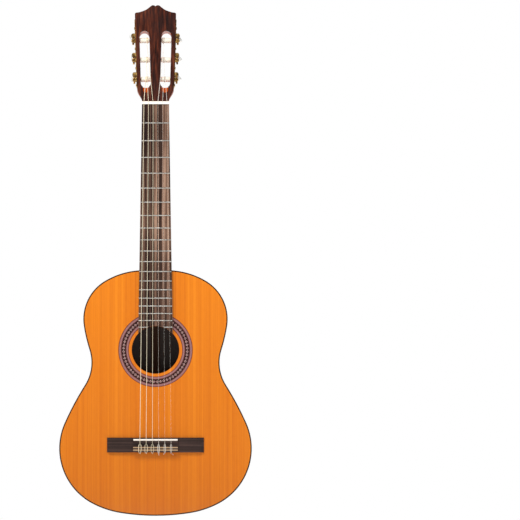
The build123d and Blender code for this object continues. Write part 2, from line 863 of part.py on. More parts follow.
with BuildPart() as button:
    for along, length, width in button_sections:
        with BuildSketch(Plane.XY.offset(button_start - along)):
            Ellipse(length / 2, width / 2)
    loft()
    with BuildSketch(Plane.XY.offset(button_start)):
        Circle(shaft_radius + 0.02)
    extrude(amount=-button_hole_depth, mode=Mode.SUBTRACT)


def place_piece(pieces, plane, side, name):
    """Write one machine's piece, moved from Z to its plane, and mirrored on the left side."""
    with BuildPart() as placed:
        for piece in pieces:
            add(piece.moved(plane.location))
        if side < 0:
            mirror(about=Plane.YZ, mode=Mode.REPLACE)
    save(placed, name)


for number in string_diameters:
    side, place = string_side(number)
    turn = radians(side * (90 - button_angles[number]))
    across = worm_plane(place)
    turned_x = across.x_dir * cos(turn) + across.y_dir * sin(turn)
    turned = Plane(across.origin, x_dir=turned_x, z_dir=across.z_dir)
    place_piece([worm.part], across, side, f"tuner_worm_{number}")
    place_piece([button.part], turned, side, f"tuner_button_{number}")
    place_piece([gear.part, gear_screw.part], tuner_plane(place), side, f"tuner_gear_{number}")
    place_piece([roller.part], tuner_plane(place), side, f"string_roller_{number}")

with BuildPart() as plate:
    with BuildSketch(tuner_plane(0)):
        with Locations(((plate_ends[0] + plate_ends[1]) / 2, 0)):
            RectangleRounded(plate_ends[1] - plate_ends[0], plate_width, 2)
        for along, radius in plate_lobes:
            with Locations((along, 0)):
                Circle(radius)
        with Locations([(place * tuner_spacing, 0) for place in (-1, 0, 1)]):
            Circle(spindle_radius + running_clearance, mode=Mode.SUBTRACT)
        with Locations([(along, 0) for along in plate_screw_places]):
            Circle(screw_radius, mode=Mode.SUBTRACT)
    extrude(amount=plate_thickness)
    for place in (-1, 0, 1):
        for lug_side in (-1, 1):
            with BuildSketch(worm_plane(place).offset(lug_side * lug_place)):
                Circle(lug_half_width)
                stem = worm_height - plate_thickness
                with Locations((0, stem / 2)):
                    Rectangle(2 * lug_half_width, stem)
                Circle(shaft_radius + running_clearance, mode=Mode.SUBTRACT)
            extrude(amount=lug_thickness / 2, both=True)

with BuildPart() as plate_screws:
    for along in plate_screw_places:
        with BuildSketch(tuner_plane(0).offset(plate_thickness)):
            with Locations((along, 0)):
                Circle(screw_head[0])
        extrude(amount=screw_head[1])
        with BuildSketch(tuner_plane(0).offset(plate_thickness)):
            with Locations((along, 0)):
                Circle(screw_radius)
        extrude(amount=-screw_length)
        with BuildSketch(tuner_plane(0).offset(plate_thickness + screw_head[1])):
            with Locations((along, 0)):
                Rectangle(screw_slot[0], 6)
        extrude(amount=-screw_slot[1], mode=Mode.SUBTRACT)
    mirror(about=Plane.YZ)
save(plate_screws, "tuner_plate_screws")

flat = Plane.XY
place_piece([plate.part], flat, 1, "tuner_plate_right")
place_piece([plate.part], flat, -1, "tuner_plate_left")

# ================================================================ bridge, saddle and strings
with BuildPart() as tie_inlays:
    for low, high in inlay_bands:
        with BuildSketch(front_plane(top_y - tie_block_height)):
            with Locations((0, (low + high) / 2)):
                Rectangle(bridge_middle, high - low)
        extrude(amount=-inlay_depth)
save(tie_inlays, "tie_block_inlays")

with BuildPart() as saddle_blank:
    with BuildSketch(Plane.YZ):
        low_y = top_y - bridge_height + saddle_slot_depth
        high_y = top_y - saddle_string_height - 0.15
        with BuildLine():
            shoulder = high_y + saddle_thickness / 2
            sides = Polyline(
                (shoulder, saddle_z - saddle_thickness / 2),
                (low_y, saddle_z - saddle_thickness / 2),
                (low_y, saddle_z + saddle_thickness / 2),
                (shoulder, saddle_z + saddle_thickness / 2),
            )
            ThreePointArc(sides @ 1, (high_y, saddle_z), sides @ 0)
        make_face()
    extrude(amount=saddle_length / 2, both=True)
with BuildPart() as saddle:
    add(saddle_blank.part)
    for groove in grooves.values():
        add(groove, mode=Mode.SUBTRACT)
save(saddle, "saddle")

with BuildPart() as bridge:
    with BuildSketch(Plane.YZ):
        with BuildLine():
            Polyline(
                (top_y, bridge_low_z),
                (top_y - tie_block_height + tie_block_bevel, bridge_low_z),
                (top_y - tie_block_height, bridge_low_z + tie_block_bevel),
                (top_y - tie_block_height, ditch_low_z - tie_block_bevel),
                (top_y - tie_block_height + tie_block_bevel, ditch_low_z),
                (top_y - ditch_height, ditch_low_z),
                (top_y - ditch_height, ditch_high_z),
                (top_y - bridge_height + 3.0, ditch_high_z),
                (top_y - bridge_height, ditch_high_z + 3.6),
                (top_y - bridge_height, bridge_high_z - 1.5),
                (top_y - bridge_height + 3.5, bridge_high_z),
                (top_y, bridge_high_z),
                close=True,
            )
        make_face()
    extrude(amount=bridge_middle / 2, both=True)
    with BuildSketch(Plane.XY.offset(bridge_low_z)):
        with BuildLine():
            Polyline(
                (0, top_y),
                (bridge_length / 2, top_y),
                (bridge_length / 2, top_y - wing_tip_height),
                (bridge_length / 2 - wing_bevel, top_y - wing_height),
                (0, top_y - wing_height),
            )
            mirror(about=Plane.YZ)
        make_face()
    extrude(amount=bridge_high_z - bridge_low_z)
    add(saddle_blank.part, mode=Mode.SUBTRACT)
    with BuildSketch(front_plane(top_y - bridge_height - 1)):
        with Locations((0, saddle_z)):
            Rectangle(bridge_middle, saddle_thickness)
    extrude(amount=-1 - saddle_slot_depth, mode=Mode.SUBTRACT)
    add(tie_inlays.part, mode=Mode.SUBTRACT)
    for number in string_diameters:
        with BuildSketch(Plane.XY.offset(bridge_low_z - 1)):
            with Locations((saddle_point(number).X, top_y - tie_hole_height)):
                Circle(tie_hole_radius)
        extrude(amount=ditch_low_z - bridge_low_z + 2, mode=Mode.SUBTRACT)
save(bridge, "bridge")

# the turns wound on a roller are a sleeve beside the turn that leads to the string
for number, diameter in string_diameters.items():
    side, place = string_side(number)
    turns = 4 if number < 3 else 3
    sleeve_start = string_lane(number) - diameter / 2 - wrap_gap
    with BuildPart() as winding:
        with BuildSketch(tuner_plane(place).offset(sleeve_start)):
            Circle(coil_radius(number) + diameter / 2)
            Circle(coil_radius(number) - diameter / 2, mode=Mode.SUBTRACT)
        extrude(amount=-turns * diameter)
        if side < 0:
            mirror(about=Plane.YZ, mode=Mode.REPLACE)
    wrap_bends = [coil_radius(number) - 0.1] * 3
    route = wrap_points(number) + string_points(number)[1:]
    with BuildPart() as string:
        add(tube(route, wrap_bends + string_bends, diameter / 2))
        add(winding.part)
    save(string, f"string_{number}")
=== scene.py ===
import json
import math

import bpy
from mathutils import Matrix, Vector


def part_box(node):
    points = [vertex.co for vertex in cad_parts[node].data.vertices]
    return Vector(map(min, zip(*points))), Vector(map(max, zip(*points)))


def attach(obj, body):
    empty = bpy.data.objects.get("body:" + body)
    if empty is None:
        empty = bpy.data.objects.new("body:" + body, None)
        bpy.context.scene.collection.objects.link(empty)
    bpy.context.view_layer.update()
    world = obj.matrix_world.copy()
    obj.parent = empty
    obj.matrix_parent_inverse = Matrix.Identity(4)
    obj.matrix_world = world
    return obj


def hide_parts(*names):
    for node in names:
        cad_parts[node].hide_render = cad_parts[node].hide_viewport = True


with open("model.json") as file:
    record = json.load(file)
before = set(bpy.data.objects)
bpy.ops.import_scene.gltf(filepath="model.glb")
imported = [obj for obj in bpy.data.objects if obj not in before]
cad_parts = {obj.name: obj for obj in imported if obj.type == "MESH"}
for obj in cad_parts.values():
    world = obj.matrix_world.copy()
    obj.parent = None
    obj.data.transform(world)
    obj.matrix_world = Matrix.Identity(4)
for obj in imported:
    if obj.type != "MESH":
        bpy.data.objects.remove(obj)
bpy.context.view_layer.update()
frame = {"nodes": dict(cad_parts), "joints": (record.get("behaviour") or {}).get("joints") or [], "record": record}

MM = 0.001
joints = {joint["name"]: joint for joint in frame["joints"]}
board_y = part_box("soundboard")[0].y            # the soundboard's face
body_top_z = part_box("soundboard")[1].z
bridge_low, bridge_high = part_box("bridge")
rosette_low, rosette_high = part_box("rosette_lines")
hole_z = (rosette_low.z + rosette_high.z) / 2
nut_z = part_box("nut")[1].z


# ------------------------------------------------------------------ nodes of a material
def srgb(red, green, blue):
    """Return a linear colour with alpha from screen values of 0 to 255."""
    linear = []
    for value in (red, green, blue):
        share = value / 255
        linear.append(share / 12.92 if share <= 0.04045 else ((share + 0.055) / 1.055) ** 2.4)
    return (*linear, 1.0)


class Paint:
    """One material and the nodes that are added to it."""

    def __init__(self, name, **shader_values):
        self.material = bpy.data.materials.new(name)
        self.material.use_nodes = True
        self.tree = self.material.node_tree
        self.shader = self.tree.nodes["Principled BSDF"]
        for socket, value in shader_values.items():
            self.shader.inputs[socket.replace("_", " ")].default_value = value
        self.place = self.add("ShaderNodeTexCoord").outputs["Object"]

    def add(self, kind, **settings):
        node = self.tree.nodes.new(kind)
        for name, value in settings.items():
            setattr(node, name, value)
        return node

    def put(self, socket, value):
        """Link a socket to an output, or set it to a constant."""
        if isinstance(value, bpy.types.NodeSocket):
            self.tree.links.new(value, socket)
        else:
            socket.default_value = value

    def math(self, operation, first, second=0.0, third=0.0):
        node = self.add("ShaderNodeMath", operation=operation)
        for socket, value in zip(node.inputs, (first, second, third)):
            self.put(socket, value)
        return node.outputs[0]

    def split(self, vector=None):
        node = self.add("ShaderNodeSeparateXYZ")
        self.put(node.inputs[0], vector or self.place)
        return node.outputs

    def join(self, x, y, z):
        node = self.add("ShaderNodeCombineXYZ")
        for socket, value in zip(node.inputs, (x, y, z)):
            self.put(socket, value)
        return node.outputs[0]

    def noise(self, sizes, vector=None, detail=3.0, roughness=0.55, distortion=0.0, offset=0.0):
        """Return noise of 0 to 1 whose features have the given sizes in metres along x, y and z."""
        scaled = self.add("ShaderNodeVectorMath", operation="MULTIPLY_ADD")
        self.put(scaled.inputs[0], vector or self.place)
        scaled.inputs[1].default_value = [1 / size for size in sizes]
        scaled.inputs[2].default_value = [offset] * 3
        node = self.add("ShaderNodeTexNoise")
        self.put(node.inputs["Vector"], scaled.outputs[0])
        for name, value in (("Scale", 1.0), ("Detail", detail), ("Roughness", roughness)):
            node.inputs[name].default_value = value
        node.inputs["Distortion"].default_value = distortion
        return node.outputs["Fac"]

    def range(self, value, low, high, new_low=0.0, new_high=1.0):
        node = self.add("ShaderNodeMapRange")
        for socket, setting in zip(node.inputs, (value, low, high, new_low, new_high)):
            self.put(socket, setting)
        return node.outputs[0]

    def ramp(self, value, stops):
        """Return a colour from a value by stops of (place, colour)."""
        node = self.add("ShaderNodeValToRGB")
        elements = node.color_ramp.elements
        while len(elements) < len(stops):
            elements.new(0.5)
        for element, (place, colour) in zip(elements, stops):
            element.position = place
            element.color = colour
        self.put(node.inputs[0], value)
        return node.outputs[0]

    def mix(self, share, first, second, mode="MIX"):
        node = self.add("ShaderNodeMix", data_type="RGBA", blend_type=mode)
        self.put(node.inputs[0], share)
        self.put(node.inputs[6], first)
        self.put(node.inputs[7], second)
        return node.outputs[2]

    def bump(self, height, depth, strength=1.0):
        node = self.add("ShaderNodeBump")
        node.inputs["Strength"].default_value = strength
        node.inputs["Distance"].default_value = depth
        self.put(node.inputs["Height"], height)
        self.put(self.shader.inputs["Normal"], node.outputs[0])
        if self.shader.inputs["Coat Weight"].default_value > 0:
            soft = self.add("ShaderNodeBump")
            soft.inputs["Strength"].default_value = strength
            soft.inputs["Distance"].default_value = depth * 0.25
            self.put(soft.inputs["Height"], height)
            self.put(self.shader.inputs["Coat Normal"], soft.outputs[0])

    def finish(self, colour, roughness):
        self.put(self.shader.inputs["Base Color"], colour)
        self.put(self.shader.inputs["Roughness"], roughness)
        return self.material


# ------------------------------------------------------------------ woods
def wood(name, stops, grain, streak, gloss, pores=0.3, seed=0.0, along="z", spread=0.2, figure=None,
         stain=None):
    """Return a lacquered or oiled wood with its grain along x or z.

    stops are colours from dark to light, grain and streak are widths across the grain,
    gloss is (coat weight, roughness), pores is how dark the open pores are, a small spread
    gives strong stripes, figure is (size along, strength) of cross figure, and stain is
    (low z, high z, colour) of a stain that begins between two heights."""
    coat, roughness = gloss
    paint = Paint(name, Coat_Weight=coat, Coat_Roughness=0.08, Specular_IOR_Level=0.15)
    x, y, z = paint.split()
    vector = paint.place if along == "z" else paint.join(z, y, x)
    fine = paint.noise((grain, grain * 4, 0.16), vector, detail=2.0, offset=seed)
    broad = paint.noise((streak, streak * 3, 0.9), vector, detail=2.0, distortion=0.3, offset=seed + 7)
    clouds = paint.noise((0.09, 0.09, 0.13), vector, detail=1.0, offset=seed + 13)
    tone = paint.math("MULTIPLY_ADD", fine, 0.42, paint.math("MULTIPLY", broad, 0.58))
    tone = paint.math("MULTIPLY_ADD", paint.math("SUBTRACT", clouds, 0.5), 0.25, tone)
    if figure:
        size, strength = figure
        waves = paint.noise((0.011, 0.011, size), vector, detail=2.0, distortion=0.8, offset=seed + 19)
        tone = paint.math("MULTIPLY_ADD", paint.math("SUBTRACT", waves, 0.5), strength, tone)
    colour = paint.ramp(paint.range(tone, 0.5 - spread, 0.5 + spread), stops)
    if stain:
        low_z, high_z, stain_colour = stain
        colour = paint.mix(paint.range(z, low_z, high_z), colour, stain_colour, "MULTIPLY")
    pore_noise = paint.noise((0.00035, 0.0012, 0.007), vector, detail=1.0, offset=seed + 29)
    pore = paint.range(pore_noise, 0.63, 0.72)
    colour = paint.mix(paint.math("MULTIPLY", pore, pores), colour, stops[0][1], "MULTIPLY")
    relief = paint.math("SUBTRACT", fine, paint.math("MULTIPLY", pore, 0.8))
    paint.bump(relief, 0.00012 if coat > 0.5 else 0.00025, 0.35)
    worn = paint.noise((0.03, 0.03, 0.05), detail=4.0, offset=seed + 31)
    return paint.finish(colour, paint.range(worn, 0.3, 0.7, roughness, roughness + 0.12))


def cedar():
    """The soundboard: fine straight annual rings, matched about the middle joint."""
    paint = Paint("cedar_top", Coat_Weight=0.8, Coat_Roughness=0.07, Specular_IOR_Level=0.15)
    x, y, z = paint.split()
    side = paint.math("ABSOLUTE", x)
    bend = paint.noise((0.25, 0.25, 0.5), detail=1.0)
    drifted = paint.math("MULTIPLY_ADD", paint.math("SUBTRACT", bend, 0.5), 0.006, side)
    vector = paint.join(drifted, y, z)
    rings = paint.noise((0.0007, 1.0, 0.3), vector, detail=2.0, roughness=0.7)
    bands = paint.noise((0.006, 1.0, 1.6), vector, detail=2.0, offset=5)
    wide = paint.noise((0.028, 1.0, 1.2), vector, detail=1.0, offset=11)
    silk = paint.noise((0.004, 1.0, 0.012), vector, detail=3.0, offset=17)
    tone = paint.math("MULTIPLY", rings, 0.34)
    tone = paint.math("MULTIPLY_ADD", bands, 0.36, tone)
    tone = paint.math("MULTIPLY_ADD", wide, 0.24, tone)
    tone = paint.math("MULTIPLY_ADD", silk, 0.06, tone)
    colour = paint.ramp(paint.range(tone, 0.33, 0.67), [
        (0.0, srgb(198, 96, 10)), (0.35, srgb(221, 119, 15)),
        (0.65, srgb(232, 131, 20)), (1.0, srgb(241, 147, 33)),
    ])
    # painted shade: the top is darkened towards the bottom of the body, standing for light that falls off
    # downwards
    painted_shade = paint.range(z, 0.0, body_top_z, 0.5, 0.0)
    colour = paint.mix(painted_shade, colour, srgb(206, 192, 170), "MULTIPLY")
    seam = paint.range(side, 0.0, 0.0004, 0.35, 0.0)
    colour = paint.mix(seam, colour, srgb(120, 60, 20), "MULTIPLY")
    paint.bump(rings, 0.0001, 0.3)
    worn = paint.noise((0.05, 0.05, 0.05), detail=4.0, offset=23)
    return paint.finish(colour, paint.range(worn, 0.3, 0.7, 0.28, 0.42))


def mahogany(name, across):
    """The back and sides: ribbon stripes that swap light and dark, with short cross flecks."""
    paint = Paint(name, Coat_Weight=0.35, Coat_Roughness=0.07, Specular_IOR_Level=0.1)
    x, y, z = paint.split()
    middle = paint.math("ABSOLUTE", x)
    if across == "y":
        vector = paint.join(y, middle, z)
    else:
        vector = paint.join(middle, y, z)
    ribbons = paint.noise((0.017, 0.9, 0.6), vector, detail=2.5, distortion=0.2, offset=3)
    flecks = paint.noise((0.0022, 0.5, 0.0045), vector, detail=3.0, distortion=0.5, offset=9)
    fine = paint.noise((0.0009, 0.2, 0.05), vector, detail=2.0, offset=15)
    tone = paint.math("MULTIPLY", ribbons, 0.62)
    tone = paint.math("MULTIPLY_ADD", flecks, 0.22, tone)
    tone = paint.math("MULTIPLY_ADD", fine, 0.16, tone)
    colour = paint.ramp(paint.range(tone, 0.37, 0.63), [
        (0.0, srgb(94, 34, 8)), (0.4, srgb(132, 53, 16)),
        (0.65, srgb(156, 70, 25)), (1.0, srgb(194, 100, 38)),
    ])
    # painted shade: the back and sides are darkened towards the bottom of the body, standing for light that falls
    # off there
    painted_shade = paint.range(z, 0.0, body_top_z, 1.0, 0.0)
    colour = paint.mix(painted_shade, colour, srgb(184, 144, 104), "MULTIPLY")
    # painted shade: faces whose normals point to the front (the inside of the back, seen through the soundhole)
    # get a dark brown standing for the shade inside the body
    facing = paint.split(paint.add("ShaderNodeNewGeometry").outputs["Normal"])[1]
    painted_shade_inside = paint.math("LESS_THAN", facing, -0.5)
    colour = paint.mix(painted_shade_inside, colour, srgb(58, 32, 16))
    pore_noise = paint.noise((0.0004, 0.05, 0.006), vector, detail=1.0, offset=27)
    pore = paint.range(pore_noise, 0.62, 0.72)
    colour = paint.mix(paint.math("MULTIPLY", pore, 0.55), colour, srgb(70, 26, 10), "MULTIPLY")
    paint.bump(paint.math("SUBTRACT", fine, pore), 0.0001, 0.3)
    worn = paint.noise((0.05, 0.05, 0.05), detail=4.0, offset=31)
    return paint.finish(colour, paint.range(worn, 0.3, 0.7, 0.28, 0.42))


# radii of the rosette's rings: inner band, mosaic, outer band
inner_band = (52.5 * MM, 57.3 * MM)
mosaic_ring = (57.3 * MM, 66.4 * MM)
outer_band = (66.4 * MM, 71.6 * MM)
mosaic_middle = 62.0 * MM
tile_count = 168
diamond_count = 60
tile_grain = 1.0 * MM
mosaic_grain = 0.6 * MM


def ring_place(paint):
    """Return the distance from the soundhole's middle and the angle round it, in turns."""
    x, _, z = paint.split()
    up = paint.math("SUBTRACT", z, hole_z)
    squares = paint.math("ADD", paint.math("MULTIPLY", x, x), paint.math("MULTIPLY", up, up))
    radius = paint.math("SQRT", squares)
    angle = paint.math("DIVIDE", paint.math("ARCTAN2", up, x), 2 * math.pi)
    return radius, angle


def rosette_band():
    """Two rings of slim wooden tiles with a pale zigzag line."""
    paint = Paint("rosette_band", Coat_Weight=0.8, Coat_Roughness=0.07, Specular_IOR_Level=0.15)
    radius, angle = ring_place(paint)
    step = paint.math("FRACT", paint.math("MULTIPLY", angle, tile_count))
    saw = paint.math("ABSOLUTE", paint.math("SUBTRACT", step, 0.5))
    inner = paint.range(radius, *inner_band)
    outer = paint.range(radius, *outer_band)
    is_outer = paint.math("GREATER_THAN", radius, mosaic_middle)
    across = paint.math("ADD", paint.math("MULTIPLY", inner, paint.math("SUBTRACT", 1.0, is_outer)),
                        paint.math("MULTIPLY", outer, is_outer))
    wave = paint.math("MULTIPLY_ADD", saw, 1.1, 0.22)
    zigzag = paint.math("ABSOLUTE", paint.math("SUBTRACT", wave, across))
    line = paint.range(zigzag, 0.07, 0.15, 1.0, 0.0)
    tile = paint.math("GREATER_THAN", step, 0.5)
    colour = paint.mix(tile, srgb(138, 88, 84), srgb(104, 58, 58))
    grain = paint.noise([tile_grain] * 3, detail=3.0)
    colour = paint.mix(paint.range(grain, 0.3, 0.7, 0.0, 0.4), colour, srgb(158, 116, 120))
    colour = paint.mix(paint.math("MULTIPLY", line, 0.8), colour, srgb(186, 142, 140))
    edge_distance = paint.math("MINIMUM", across, paint.math("SUBTRACT", 1.0, across))
    edge = paint.range(edge_distance, 0.05, 0.12, 1.0, 0.0)
    colour = paint.mix(edge, colour, srgb(64, 22, 16))
    paint.bump(grain, 0.00006, 0.3)
    return paint.finish(colour, paint.range(grain, 0.3, 0.7, 0.3, 0.42))


def rosette_mosaic():
    """The wide middle ring: a chain of pale diamonds with small squares between them, on black."""
    paint = Paint("rosette_mosaic", Coat_Weight=0.8, Coat_Roughness=0.07, Specular_IOR_Level=0.15)
    radius, angle = ring_place(paint)
    step = paint.math("FRACT", paint.math("MULTIPLY", angle, diamond_count))
    along = paint.math("ABSOLUTE", paint.math("SUBTRACT", step, 0.5))
    across = paint.range(radius, *mosaic_ring, -0.5, 0.5)
    height = paint.math("ABSOLUTE", across)
    big = paint.math("ADD", paint.math("MULTIPLY", along, 0.72), height)
    small_along = paint.math("SUBTRACT", 0.5, along)
    small = paint.math("ADD", paint.math("MULTIPLY", small_along, 0.72), height)
    border_distance = paint.math("ABSOLUTE", paint.math("SUBTRACT", height, 0.40))
    check = paint.math("FRACT", paint.math("MULTIPLY", angle, diamond_count * 4))
    grain = paint.noise([mosaic_grain] * 3, detail=3.0)
    diamond = paint.math("LESS_THAN", big, 0.27)
    rim = paint.math("LESS_THAN", big, 0.20)
    core = paint.math("LESS_THAN", big, 0.06)
    dot = paint.math("LESS_THAN", small, 0.08)
    in_border = paint.math("LESS_THAN", border_distance, 0.045)
    border = paint.math("MULTIPLY", in_border, paint.math("GREATER_THAN", check, 0.5))
    colour = paint.mix(paint.range(grain, 0.3, 0.7), srgb(24, 4, 4), srgb(44, 12, 12))
    colour = paint.mix(diamond, colour, srgb(222, 188, 180))
    colour = paint.mix(rim, colour, srgb(84, 34, 34))
    colour = paint.mix(core, colour, srgb(206, 160, 156))
    colour = paint.mix(dot, colour, srgb(150, 96, 92))
    colour = paint.mix(border, colour, srgb(112, 58, 50))
    paint.bump(grain, 0.00005, 0.3)
    return paint.finish(colour, paint.range(grain, 0.3, 0.7, 0.3, 0.42))


# ------------------------------------------------------------------ metals, bone, pearl, strings
def metal(name, dark, light, roughness, brushed):
    """Polished metal with tarnish in patches and fine polishing lines."""
    paint = Paint(name, Metallic=1.0)
    patches = paint.noise((0.006, 0.006, 0.006), detail=4.0)
    lines = paint.noise((0.0002, 0.004, brushed), detail=2.0, offset=5)
    colour = paint.ramp(paint.range(patches, 0.3, 0.7), [(0.0, dark), (1.0, light)])
    colour = paint.mix(paint.range(lines, 0.4, 0.8, 0.0, 0.3), colour, dark)
    paint.bump(lines, 0.00003, 0.25)
    return paint.finish(colour, paint.range(patches, 0.3, 0.7, roughness, roughness + 0.15))


def bone():
    """Nut and saddle: off-white with faint long streaks."""
    paint = Paint("bone", Coat_Weight=0.3, Coat_Roughness=0.15)
    streaks = paint.noise((0.006, 0.0008, 0.0012), detail=3.0)
    colour = paint.ramp(paint.range(streaks, 0.3, 0.7), [
        (0.0, srgb(238, 230, 212)), (1.0, srgb(255, 252, 246)),
    ])
    paint.bump(streaks, 0.00004, 0.3)
    return paint.finish(colour, paint.range(streaks, 0.3, 0.7, 0.25, 0.4))


def ivory():
    """The string rollers: smooth cream plastic with moulding marks."""
    paint = Paint("ivory_plastic", Subsurface_Weight=0.05, Coat_Weight=0.2)
    marks = paint.noise((0.003, 0.003, 0.003), detail=4.0)
    colour = paint.ramp(paint.range(marks, 0.3, 0.7), [
        (0.0, srgb(232, 220, 196)), (1.0, srgb(248, 242, 228)),
    ])
    paint.bump(marks, 0.00005, 0.3)
    return paint.finish(colour, paint.range(marks, 0.3, 0.7, 0.3, 0.42))


def pearl():
    """The tuner buttons: white pearl with soft drifting bands."""
    paint = Paint("pearl", Coat_Weight=0.9, Coat_Roughness=0.04, Sheen_Weight=0.1)
    drift = paint.noise((0.008, 0.008, 0.008), detail=3.0, distortion=2.5)
    layers = paint.math("SINE", paint.math("MULTIPLY", drift, 34.0))
    colour = paint.ramp(paint.range(layers, -1.0, 1.0), [
        (0.0, srgb(214, 208, 196)), (0.45, srgb(240, 238, 232)),
        (0.7, srgb(226, 232, 232)), (1.0, srgb(254, 252, 250)),
    ])
    paint.bump(layers, 0.00003, 0.2)
    return paint.finish(colour, paint.range(drift, 0.3, 0.7, 0.18, 0.32))


def nylon():
    """Clear nylon: nearly unseen where it is straight, milky at its knot and from the nut upwards."""
    paint = Paint("clear_nylon", Specular_IOR_Level=0.6, IOR=1.5)
    along = paint.add("ShaderNodeAttribute", attribute_name="along").outputs["Fac"]
    drift = paint.noise((0.012, 1.0, 1.0), paint.join(along, 0.0, 0.0), detail=3.0)
    colour = paint.ramp(paint.range(drift, 0.3, 0.7), [
        (0.0, srgb(226, 214, 196)), (1.0, srgb(250, 246, 238)),
    ])
    z = paint.split()[2]
    straight_alpha, knot_alpha, roller_alpha = 0.12, 0.95, 0.6
    knot_z = bridge_high.z - 8 * MM
    knot = paint.range(z, knot_z, knot_z + 4 * MM, knot_alpha, straight_alpha)
    head = paint.range(z, nut_z - 5 * MM, nut_z, straight_alpha, roller_alpha)
    paint.put(paint.shader.inputs["Alpha"], paint.math("MAXIMUM", knot, head))
    paint.bump(drift, 0.00003, 0.3)
    return paint.finish(colour, paint.range(drift, 0.3, 0.7, 0.15, 0.28))


def wound_silver():
    """Bass string: silvered wire wound tightly round the core, a ridge at each turn."""
    paint = Paint("wound_silver", Metallic=0.2)
    along = paint.add("ShaderNodeAttribute", attribute_name="along").outputs["Fac"]
    winding_pitch = 0.00022
    phase = paint.math("MULTIPLY", along, 2 * math.pi / winding_pitch)
    ridges = paint.range(paint.math("SINE", phase), -1.0, 1.0)
    drift = paint.noise((0.02, 0.02, 0.02), detail=3.0)
    # painted shade and painted highlight: the colour follows the winding's ridges, darker in the grooves between
    # turns and lighter on their crests; the drift is a real tone
    colour = paint.ramp(paint.math("MULTIPLY_ADD", drift, 0.4, paint.math("MULTIPLY", ridges, 0.6)), [
        (0.0, srgb(214, 198, 164)), (0.5, srgb(246, 232, 200)), (1.0, srgb(255, 248, 226)),
    ])
    paint.bump(ridges, 0.00008, 0.8)
    return paint.finish(colour, paint.range(drift, 0.3, 0.7, 0.26, 0.38))


binding = wood("dark_binding", [
    (0.0, srgb(30, 10, 2)), (0.5, srgb(50, 22, 5)), (1.0, srgb(74, 36, 12)),
], grain=0.0012, streak=0.008, gloss=(0.25, 0.3))
light_line = wood("light_line", [
    (0.0, srgb(128, 66, 46)), (0.5, srgb(150, 84, 58)), (1.0, srgb(172, 104, 74)),
], grain=0.0006, streak=0.004, gloss=(0.8, 0.3))
lining = wood("lining_wood", [
    (0.0, srgb(150, 104, 66)), (0.5, srgb(178, 130, 88)), (1.0, srgb(200, 154, 110)),
], grain=0.0012, streak=0.01, gloss=(0.0, 0.55))
brace = wood("brace_wood", [
    (0.0, srgb(186, 146, 96)), (0.5, srgb(208, 170, 118)), (1.0, srgb(226, 194, 144)),
], grain=0.001, streak=0.006, gloss=(0.0, 0.6))
neck_wood = wood("neck_wood", [
    (0.0, srgb(182, 86, 26)), (0.45, srgb(218, 114, 36)),
    (0.7, srgb(233, 133, 50)), (1.0, srgb(245, 155, 72)),
], grain=0.0012, streak=0.012, gloss=(0.25, 0.26), pores=0.5, seed=41, figure=(0.005, 0.5),
    stain=(nut_z - 2 * MM, nut_z + 2 * MM, srgb(206, 158, 84)))
head_veneer = wood("dark_rosewood", [
    (0.0, srgb(30, 6, 2)), (0.4, srgb(56, 18, 6)),
    (0.7, srgb(80, 32, 14)), (1.0, srgb(108, 52, 26)),
], grain=0.0016, streak=0.005, gloss=(0.35, 0.26), pores=0.5, seed=53, spread=0.14)
board_wood = wood("fingerboard_rosewood", [
    (0.0, srgb(30, 16, 12)), (0.35, srgb(70, 48, 38)),
    (0.65, srgb(118, 88, 72)), (1.0, srgb(172, 138, 116)),
], grain=0.0015, streak=0.003, gloss=(0.0, 0.5), pores=0.8, seed=67, spread=0.13)
bridge_wood = wood("bridge_rosewood", [
    (0.0, srgb(30, 18, 16)), (0.5, srgb(56, 41, 37)), (1.0, srgb(90, 69, 62)),
], grain=0.0012, streak=0.004, gloss=(0.2, 0.36), pores=0.6, seed=79, along="x")
# painted shade: the back braces are coloured much darker than the top braces, standing for the shade inside the
# body
back_brace = wood("back_brace_wood", [
    (0.0, srgb(60, 36, 22)), (0.5, srgb(84, 52, 34)), (1.0, srgb(108, 70, 46)),
], grain=0.001, streak=0.006, gloss=(0.0, 0.6), seed=83)
rosette_line = wood("rosette_line", [
    (0.0, srgb(96, 34, 18)), (0.5, srgb(134, 56, 30)), (1.0, srgb(160, 76, 44)),
], grain=0.0006, streak=0.004, gloss=(0.8, 0.3), seed=97)
inlay_wood = wood("inlay_maple", [
    (0.0, srgb(150, 118, 84)), (0.5, srgb(180, 150, 112)), (1.0, srgb(206, 178, 140)),
], grain=0.0008, streak=0.003, gloss=(0.1, 0.4), seed=91, along="x")

finishes = {
    "cedar_top": cedar(),
    "mahogany_back": mahogany("mahogany_back", "x"),
    "mahogany_side": mahogany("mahogany_side", "y"),
    "neck_wood": neck_wood,
    "dark_binding": binding,
    "light_line": light_line,
    "lining_wood": lining,
    "brace_wood": brace,
    "back_brace_wood": back_brace,
    "dark_rosewood": head_veneer,
    "fingerboard_rosewood": board_wood,
    "bridge_rosewood": bridge_wood,
    "rosette_band": rosette_band(),
    "rosette_mosaic": rosette_mosaic(),
    "fret_metal": metal("fret_metal", srgb(176, 172, 164), srgb(222, 220, 214), 0.2, 0.004),
    "bone": bone(),
    "gold_metal": metal("gold_metal", srgb(104, 70, 26), srgb(226, 186, 112), 0.2, 0.004),
    "pearl": pearl(),
    "ivory_plastic": ivory(),
    "clear_nylon": nylon(),
    "wound_silver": wound_silver(),
}
own_finishes = {"tie_block_inlays": inlay_wood, "rosette_lines": rosette_line}
for part in frame["record"]["subparts"]:
    slots = frame["nodes"][part["node"]].data.materials
    slots.clear()
    slots.append(own_finishes.get(part["node"], finishes[part["material_slot"]]))


